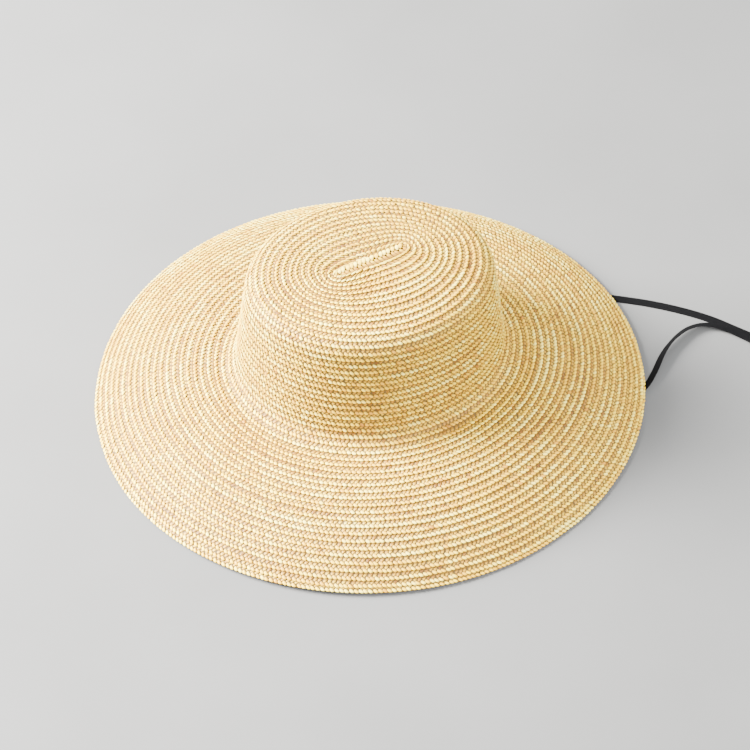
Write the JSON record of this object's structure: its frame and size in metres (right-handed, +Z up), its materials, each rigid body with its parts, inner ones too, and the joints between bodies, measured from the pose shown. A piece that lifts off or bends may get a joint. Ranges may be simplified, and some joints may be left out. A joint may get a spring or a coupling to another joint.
{
  "type": "straw sun hat",
  "caption": "Wide-brimmed sun hat of sewn straw plait, with a flat-topped oval crown, a sweatband and two flat tie ribbons.",
  "frame": {"origin": "centre of the brim's footprint, on the surface that the hat stands on", "axes": "+Z up, +Y to the back of the head, along the long axis of the oval, +X to the wearer's right ear"},
  "size_m": [0.3872, 0.5862, 0.1314],
  "materials": {
    "straw": "plaited wheat straw, dry, with a light gloss on the flats",
    "band_cloth": "ribbed cotton band",
    "thread": "sewing thread",
    "ribbon": "fine ribbed black ribbon with a slight sheen"
  },
  "bodies": {
    "root": {"braid_start_strip": "straw", "crown_top_braid": "straw", "crown_shoulder_braid": "straw", "crown_wall_braid": "straw", "crown_foot_braid": "straw", "inner_brim_braid": "straw", "outer_brim_braid": "straw", "braid_tail": "straw", "sweatband": "band_cloth", "sweatband_lap": "band_cloth", "sweatband_stitches": "thread", "right_tie_anchor": "ribbon", "left_tie_anchor": "ribbon", "right_anchor_tacks": "thread", "left_anchor_tacks": "thread", "right_tie_ribbon": "ribbon", "left_tie_ribbon": "ribbon", "right_tie_coil": "ribbon", "left_tie_coil": "ribbon"}
  },
  "joints": []
}
